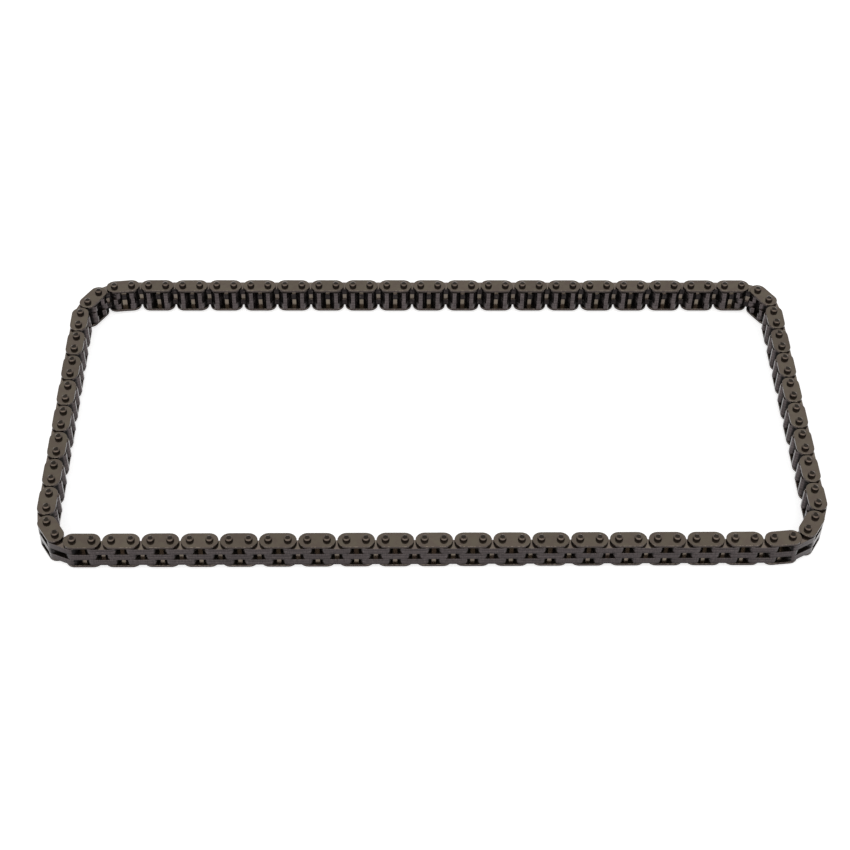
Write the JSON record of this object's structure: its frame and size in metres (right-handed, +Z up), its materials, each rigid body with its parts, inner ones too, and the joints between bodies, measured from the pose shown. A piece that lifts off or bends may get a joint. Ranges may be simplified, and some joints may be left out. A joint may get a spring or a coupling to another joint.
{
  "type": "timing chain",
  "caption": "Endless inverted-tooth timing chain laid flat, its guide plates riveted on pins, its toothed plates facing inwards.",
  "frame": {"origin": "middle of the loop, on the surface that the lower pin ends stand on", "axes": "+X along the long sides, +Y across the loop, +Z up along the pins"},
  "size_m": [0.3302, 0.1652, 0.0155],
  "materials": {
    "chain_steel": "oiled brown-grey heat-treated steel, tumbled, with lighter worn edges"
  },
  "bodies": {
    "front_links_01": {"front_links_01": "chain_steel"},
    "front_links_02": {"front_links_02": "chain_steel"},
    "front_links_03": {"front_links_03": "chain_steel"},
    "front_links_04": {"front_links_04": "chain_steel"},
    "front_links_05": {"front_links_05": "chain_steel"},
    "front_links_06": {"front_links_06": "chain_steel"},
    "front_links_07": {"front_links_07": "chain_steel"},
    "front_links_08": {"front_links_08": "chain_steel"},
    "front_links_09": {"front_links_09": "chain_steel"},
    "front_links_10": {"front_links_10": "chain_steel"},
    "front_links_11": {"front_links_11": "chain_steel"},
    "front_links_12": {"front_links_12": "chain_steel"},
    "front_links_13": {"front_links_13": "chain_steel"},
    "front_links_14": {"front_links_14": "chain_steel"},
    "front_links_15": {"front_links_15": "chain_steel"},
    "front_links_16": {"front_links_16": "chain_steel"},
    "front_links_17": {"front_links_17": "chain_steel"},
    "front_links_18": {"front_links_18": "chain_steel"},
    "front_right_corner_01": {"front_right_corner_01": "chain_steel"},
    "front_right_corner_02": {"front_right_corner_02": "chain_steel"},
    "front_right_corner_03": {"front_right_corner_03": "chain_steel"},
    "front_right_corner_04": {"front_right_corner_04": "chain_steel"},
    "right_links_01": {"right_links_01": "chain_steel"},
    "right_links_02": {"right_links_02": "chain_steel"},
    "right_links_03": {"right_links_03": "chain_steel"},
    "right_links_04": {"right_links_04": "chain_steel"},
    "right_links_05": {"right_links_05": "chain_steel"},
    "rear_right_corner_01": {"rear_right_corner_01": "chain_steel"},
    "rear_right_corner_02": {"rear_right_corner_02": "chain_steel"},
    "rear_right_corner_03": {"rear_right_corner_03": "chain_steel"},
    "rear_links_01": {"rear_links_01": "chain_steel"},
    "rear_links_02": {"rear_links_02": "chain_steel"},
    "rear_links_03": {"rear_links_03": "chain_steel"},
    "rear_links_04": {"rear_links_04": "chain_steel"},
    "rear_links_05": {"rear_links_05": "chain_steel"},
    "rear_links_06": {"rear_links_06": "chain_steel"},
    "rear_links_07": {"rear_links_07": "chain_steel"},
    "rear_links_08": {"rear_links_08": "chain_steel"},
    "rear_links_09": {"rear_links_09": "chain_steel"},
    "rear_links_10": {"rear_links_10": "chain_steel"},
    "rear_links_11": {"rear_links_11": "chain_steel"},
    "rear_links_12": {"rear_links_12": "chain_steel"},
    "rear_links_13": {"rear_links_13": "chain_steel"},
    "rear_links_14": {"rear_links_14": "chain_steel"},
    "rear_links_15": {"rear_links_15": "chain_steel"},
    "rear_links_16": {"rear_links_16": "chain_steel"},
    "rear_links_17": {"rear_links_17": "chain_steel"},
    "rear_links_18": {"rear_links_18": "chain_steel"},
    "rear_left_corner_01": {"rear_left_corner_01": "chain_steel"},
    "rear_left_corner_02": {"rear_left_corner_02": "chain_steel"},
    "rear_left_corner_03": {"rear_left_corner_03": "chain_steel"},
    "rear_left_corner_04": {"rear_left_corner_04": "chain_steel"},
    "left_links_01": {"left_links_01": "chain_steel"},
    "left_links_02": {"left_links_02": "chain_steel"},
    "left_links_03": {"left_links_03": "chain_steel"},
    "left_links_04": {"left_links_04": "chain_steel"},
    "left_links_05": {"left_links_05": "chain_steel"},
    "front_left_corner_01": {"front_left_corner_01": "chain_steel"},
    "front_left_corner_02": {"front_left_corner_02": "chain_steel"},
    "front_left_corner_03": {"front_left_corner_03": "chain_steel"}
  },
  "joints": [
    {"name": "pin_021", "type": "hinge", "parent": "front_links_10", "child": "front_links_11", "pos_m": [0.01153, -0.07859, 0], "axis": [0, 0, 1], "range_deg": [-8, 4]},
    {"name": "pin_023", "type": "hinge", "parent": "front_links_11", "child": "front_links_12", "pos_m": [0.02753, -0.07859, 0], "axis": [0, 0, 1], "range_deg": [-8, 4]},
    {"name": "pin_025", "type": "hinge", "parent": "front_links_12", "child": "front_links_13", "pos_m": [0.04353, -0.07859, 0], "axis": [0, 0, 1], "range_deg": [-8, 4]},
    {"name": "pin_027", "type": "hinge", "parent": "front_links_13", "child": "front_links_14", "pos_m": [0.05953, -0.07859, 0], "axis": [0, 0, 1], "range_deg": [-8, 14]},
    {"name": "pin_029", "type": "hinge", "parent": "front_links_14", "child": "front_links_15", "pos_m": [0.07553, -0.07859, 0], "axis": [0, 0, 1], "range_deg": [-8, 32]},
    {"name": "pin_031", "type": "hinge", "parent": "front_links_15", "child": "front_links_16", "pos_m": [0.09153, -0.07859, 0], "axis": [0, 0, 1], "range_deg": [-8, 36]},
    {"name": "pin_033", "type": "hinge", "parent": "front_links_16", "child": "front_links_17", "pos_m": [0.10753, -0.07859, 0], "axis": [0, 0, 1], "range_deg": [-8, 22]},
    {"name": "pin_035", "type": "hinge", "parent": "front_links_17", "child": "front_links_18", "pos_m": [0.12353, -0.07859, 0], "axis": [0, 0, 1], "range_deg": [-8, 26]},
    {"name": "pin_037", "type": "hinge", "parent": "front_links_18", "child": "front_right_corner_01", "pos_m": [0.13953, -0.07859, 0], "axis": [0, 0, 1], "range_deg": [-14, 8]},
    {"name": "pin_038", "type": "hinge", "parent": "front_right_corner_01", "child": "front_right_corner_02", "pos_m": [0.14749, -0.07776, 0], "axis": [0, 0, 1], "range_deg": [-32, 8]},
    {"name": "pin_039", "type": "hinge", "parent": "front_right_corner_02", "child": "front_right_corner_03", "pos_m": [0.15442, -0.07376, 0], "axis": [0, 0, 1], "range_deg": [-36, 8]},
    {"name": "pin_040", "type": "hinge", "parent": "front_right_corner_03", "child": "front_right_corner_04", "pos_m": [0.15866, -0.06697, 0], "axis": [0, 0, 1], "range_deg": [-22, 8]},
    {"name": "pin_041", "type": "hinge", "parent": "front_right_corner_04", "child": "right_links_01", "pos_m": [0.16113, -0.05937, 0], "axis": [0, 0, 1], "range_deg": [-26, 8]},
    {"name": "pin_044", "type": "hinge", "parent": "right_links_01", "child": "right_links_02", "pos_m": [0.16113, -0.03537, 0], "axis": [0, 0, 1], "range_deg": [-8, 16]},
    {"name": "pin_047", "type": "hinge", "parent": "right_links_02", "child": "right_links_03", "pos_m": [0.16113, -0.01137, 0], "axis": [0, 0, 1], "range_deg": [-8, 32]},
    {"name": "pin_050", "type": "hinge", "parent": "right_links_03", "child": "right_links_04", "pos_m": [0.16113, 0.01263, 0], "axis": [0, 0, 1], "range_deg": [-2, 36]},
    {"name": "pin_053", "type": "hinge", "parent": "right_links_04", "child": "right_links_05", "pos_m": [0.16113, 0.03663, 0], "axis": [0, 0, 1], "range_deg": [-8, 32]},
    {"name": "pin_056", "type": "hinge", "parent": "right_links_05", "child": "rear_right_corner_01", "pos_m": [0.16113, 0.06063, 0], "axis": [0, 0, 1], "range_deg": [-16, 8]},
    {"name": "pin_057", "type": "hinge", "parent": "rear_right_corner_01", "child": "rear_right_corner_02", "pos_m": [0.16002, 0.06856, 0], "axis": [0, 0, 1], "range_deg": [-32, 8]},
    {"name": "pin_058", "type": "hinge", "parent": "rear_right_corner_02", "child": "rear_right_corner_03", "pos_m": [0.15578, 0.07534, 0], "axis": [0, 0, 1], "range_deg": [-36, 2]},
    {"name": "pin_059", "type": "hinge", "parent": "rear_right_corner_03", "child": "rear_links_01", "pos_m": [0.14847, 0.07859, 0], "axis": [0, 0, 1], "range_deg": [-32, 8]},
    {"name": "pin_061", "type": "hinge", "parent": "rear_links_01", "child": "rear_links_02", "pos_m": [0.13247, 0.07859, 0], "axis": [0, 0, 1], "range_deg": [-8, 4]},
    {"name": "pin_063", "type": "hinge", "parent": "rear_links_02", "child": "rear_links_03", "pos_m": [0.11647, 0.07859, 0], "axis": [0, 0, 1], "range_deg": [-8, 4]},
    {"name": "pin_065", "type": "hinge", "parent": "rear_links_03", "child": "rear_links_04", "pos_m": [0.10047, 0.07859, 0], "axis": [0, 0, 1], "range_deg": [-8, 4]},
    {"name": "pin_067", "type": "hinge", "parent": "rear_links_04", "child": "rear_links_05", "pos_m": [0.08447, 0.07859, 0], "axis": [0, 0, 1], "range_deg": [-8, 4]},
    {"name": "pin_069", "type": "hinge", "parent": "rear_links_05", "child": "rear_links_06", "pos_m": [0.06847, 0.07859, 0], "axis": [0, 0, 1], "range_deg": [-8, 16]},
    {"name": "pin_071", "type": "hinge", "parent": "rear_links_06", "child": "rear_links_07", "pos_m": [0.05247, 0.07859, 0], "axis": [0, 0, 1], "range_deg": [-8, 16]},
    {"name": "pin_073", "type": "hinge", "parent": "rear_links_07", "child": "rear_links_08", "pos_m": [0.03647, 0.07859, 0], "axis": [0, 0, 1], "range_deg": [-8, 16]},
    {"name": "pin_075", "type": "hinge", "parent": "rear_links_08", "child": "rear_links_09", "pos_m": [0.02047, 0.07859, 0], "axis": [0, 0, 1], "range_deg": [-8, 16]},
    {"name": "pin_019", "type": "hinge", "parent": "front_links_10", "child": "front_links_09", "pos_m": [-0.00447, -0.07859, 0], "axis": [0, 0, -1], "range_deg": [-8, 4]},
    {"name": "pin_017", "type": "hinge", "parent": "front_links_09", "child": "front_links_08", "pos_m": [-0.02047, -0.07859, 0], "axis": [0, 0, -1], "range_deg": [-8, 16]},
    {"name": "pin_015", "type": "hinge", "parent": "front_links_08", "child": "front_links_07", "pos_m": [-0.03647, -0.07859, 0], "axis": [0, 0, -1], "range_deg": [-8, 16]},
    {"name": "pin_013", "type": "hinge", "parent": "front_links_07", "child": "front_links_06", "pos_m": [-0.05247, -0.07859, 0], "axis": [0, 0, -1], "range_deg": [-8, 16]},
    {"name": "pin_011", "type": "hinge", "parent": "front_links_06", "child": "front_links_05", "pos_m": [-0.06847, -0.07859, 0], "axis": [0, 0, -1], "range_deg": [-8, 16]},
    {"name": "pin_009", "type": "hinge", "parent": "front_links_05", "child": "front_links_04", "pos_m": [-0.08447, -0.07859, 0], "axis": [0, 0, -1], "range_deg": [-8, 4]},
    {"name": "pin_007", "type": "hinge", "parent": "front_links_04", "child": "front_links_03", "pos_m": [-0.10047, -0.07859, 0], "axis": [0, 0, -1], "range_deg": [-8, 4]},
    {"name": "pin_005", "type": "hinge", "parent": "front_links_03", "child": "front_links_02", "pos_m": [-0.11647, -0.07859, 0], "axis": [0, 0, -1], "range_deg": [-8, 4]},
    {"name": "pin_003", "type": "hinge", "parent": "front_links_02", "child": "front_links_01", "pos_m": [-0.13247, -0.07859, 0], "axis": [0, 0, -1], "range_deg": [-8, 4]},
    {"name": "pin_001", "type": "hinge", "parent": "front_links_01", "child": "front_left_corner_03", "pos_m": [-0.14847, -0.07859, 0], "axis": [0, 0, -1], "range_deg": [-32, 8]},
    {"name": "pin_116", "type": "hinge", "parent": "front_left_corner_03", "child": "front_left_corner_02", "pos_m": [-0.15578, -0.07534, 0], "axis": [0, 0, -1], "range_deg": [-36, 2]},
    {"name": "pin_115", "type": "hinge", "parent": "front_left_corner_02", "child": "front_left_corner_01", "pos_m": [-0.16002, -0.06856, 0], "axis": [0, 0, -1], "range_deg": [-32, 8]},
    {"name": "pin_114", "type": "hinge", "parent": "front_left_corner_01", "child": "left_links_05", "pos_m": [-0.16113, -0.06063, 0], "axis": [0, 0, -1], "range_deg": [-16, 8]},
    {"name": "pin_111", "type": "hinge", "parent": "left_links_05", "child": "left_links_04", "pos_m": [-0.16113, -0.03663, 0], "axis": [0, 0, -1], "range_deg": [-8, 32]},
    {"name": "pin_108", "type": "hinge", "parent": "left_links_04", "child": "left_links_03", "pos_m": [-0.16113, -0.01263, 0], "axis": [0, 0, -1], "range_deg": [-2, 36]},
    {"name": "pin_105", "type": "hinge", "parent": "left_links_03", "child": "left_links_02", "pos_m": [-0.16113, 0.01137, 0], "axis": [0, 0, -1], "range_deg": [-8, 32]},
    {"name": "pin_102", "type": "hinge", "parent": "left_links_02", "child": "left_links_01", "pos_m": [-0.16113, 0.03537, 0], "axis": [0, 0, -1], "range_deg": [-8, 16]},
    {"name": "pin_099", "type": "hinge", "parent": "left_links_01", "child": "rear_left_corner_04", "pos_m": [-0.16113, 0.05937, 0], "axis": [0, 0, -1], "range_deg": [-26, 8]},
    {"name": "pin_098", "type": "hinge", "parent": "rear_left_corner_04", "child": "rear_left_corner_03", "pos_m": [-0.15866, 0.06697, 0], "axis": [0, 0, -1], "range_deg": [-22, 8]},
    {"name": "pin_097", "type": "hinge", "parent": "rear_left_corner_03", "child": "rear_left_corner_02", "pos_m": [-0.15442, 0.07376, 0], "axis": [0, 0, -1], "range_deg": [-36, 8]},
    {"name": "pin_096", "type": "hinge", "parent": "rear_left_corner_02", "child": "rear_left_corner_01", "pos_m": [-0.14749, 0.07776, 0], "axis": [0, 0, -1], "range_deg": [-32, 8]},
    {"name": "pin_095", "type": "hinge", "parent": "rear_left_corner_01", "child": "rear_links_18", "pos_m": [-0.13953, 0.07859, 0], "axis": [0, 0, -1], "range_deg": [-14, 8]},
    {"name": "pin_093", "type": "hinge", "parent": "rear_links_18", "child": "rear_links_17", "pos_m": [-0.12353, 0.07859, 0], "axis": [0, 0, -1], "range_deg": [-8, 26]},
    {"name": "pin_091", "type": "hinge", "parent": "rear_links_17", "child": "rear_links_16", "pos_m": [-0.10753, 0.07859, 0], "axis": [0, 0, -1], "range_deg": [-8, 22]},
    {"name": "pin_089", "type": "hinge", "parent": "rear_links_16", "child": "rear_links_15", "pos_m": [-0.09153, 0.07859, 0], "axis": [0, 0, -1], "range_deg": [-8, 36]},
    {"name": "pin_087", "type": "hinge", "parent": "rear_links_15", "child": "rear_links_14", "pos_m": [-0.07553, 0.07859, 0], "axis": [0, 0, -1], "range_deg": [-8, 32]},
    {"name": "pin_085", "type": "hinge", "parent": "rear_links_14", "child": "rear_links_13", "pos_m": [-0.05953, 0.07859, 0], "axis": [0, 0, -1], "range_deg": [-8, 14]},
    {"name": "pin_083", "type": "hinge", "parent": "rear_links_13", "child": "rear_links_12", "pos_m": [-0.04353, 0.07859, 0], "axis": [0, 0, -1], "range_deg": [-8, 4]},
    {"name": "pin_081", "type": "hinge", "parent": "rear_links_12", "child": "rear_links_11", "pos_m": [-0.02753, 0.07859, 0], "axis": [0, 0, -1], "range_deg": [-8, 4]},
    {"name": "pin_079", "type": "hinge", "parent": "rear_links_11", "child": "rear_links_10", "pos_m": [-0.01153, 0.07859, 0], "axis": [0, 0, -1], "range_deg": [-8, 4]}
  ],
  "couplings": [
    {"joint": "pin_093", "follows": "pin_035", "ratio": 1},
    {"joint": "pin_041", "follows": "pin_035", "ratio": -1},
    {"joint": "pin_099", "follows": "pin_035", "ratio": -1},
    {"joint": "pin_091", "follows": "pin_033", "ratio": 1},
    {"joint": "pin_040", "follows": "pin_033", "ratio": -1},
    {"joint": "pin_098", "follows": "pin_033", "ratio": -1},
    {"joint": "pin_089", "follows": "pin_031", "ratio": 1},
    {"joint": "pin_039", "follows": "pin_031", "ratio": -1},
    {"joint": "pin_097", "follows": "pin_031", "ratio": -1},
    {"joint": "pin_087", "follows": "pin_029", "ratio": 1},
    {"joint": "pin_038", "follows": "pin_029", "ratio": -1},
    {"joint": "pin_096", "follows": "pin_029", "ratio": -1},
    {"joint": "pin_085", "follows": "pin_027", "ratio": 1},
    {"joint": "pin_037", "follows": "pin_027", "ratio": -1},
    {"joint": "pin_095", "follows": "pin_027", "ratio": -1},
    {"joint": "pin_111", "follows": "pin_053", "ratio": 1},
    {"joint": "pin_059", "follows": "pin_053", "ratio": -1},
    {"joint": "pin_001", "follows": "pin_053", "ratio": -1},
    {"joint": "pin_108", "follows": "pin_050", "ratio": 1},
    {"joint": "pin_058", "follows": "pin_050", "ratio": -1},
    {"joint": "pin_116", "follows": "pin_050", "ratio": -1},
    {"joint": "pin_105", "follows": "pin_047", "ratio": 1},
    {"joint": "pin_057", "follows": "pin_047", "ratio": -1},
    {"joint": "pin_115", "follows": "pin_047", "ratio": -1},
    {"joint": "pin_102", "follows": "pin_044", "ratio": 1},
    {"joint": "pin_056", "follows": "pin_044", "ratio": -1},
    {"joint": "pin_114", "follows": "pin_044", "ratio": -1},
    {"joint": "pin_069", "follows": "pin_011", "ratio": 1},
    {"joint": "pin_003", "follows": "pin_011", "ratio": -0.5},
    {"joint": "pin_061", "follows": "pin_011", "ratio": -0.5},
    {"joint": "pin_019", "follows": "pin_011", "ratio": -0.5},
    {"joint": "pin_071", "follows": "pin_013", "ratio": 1},
    {"joint": "pin_005", "follows": "pin_013", "ratio": -0.5},
    {"joint": "pin_063", "follows": "pin_013", "ratio": -0.5},
    {"joint": "pin_021", "follows": "pin_013", "ratio": -0.5},
    {"joint": "pin_079", "follows": "pin_013", "ratio": -0.5},
    {"joint": "pin_073", "follows": "pin_015", "ratio": 1},
    {"joint": "pin_007", "follows": "pin_015", "ratio": -0.5},
    {"joint": "pin_065", "follows": "pin_015", "ratio": -0.5},
    {"joint": "pin_023", "follows": "pin_015", "ratio": -0.5},
    {"joint": "pin_081", "follows": "pin_015", "ratio": -0.5},
    {"joint": "pin_075", "follows": "pin_017", "ratio": 1},
    {"joint": "pin_009", "follows": "pin_017", "ratio": -0.5},
    {"joint": "pin_067", "follows": "pin_017", "ratio": -0.5},
    {"joint": "pin_025", "follows": "pin_017", "ratio": -0.5},
    {"joint": "pin_083", "follows": "pin_017", "ratio": -0.5}
  ]
}
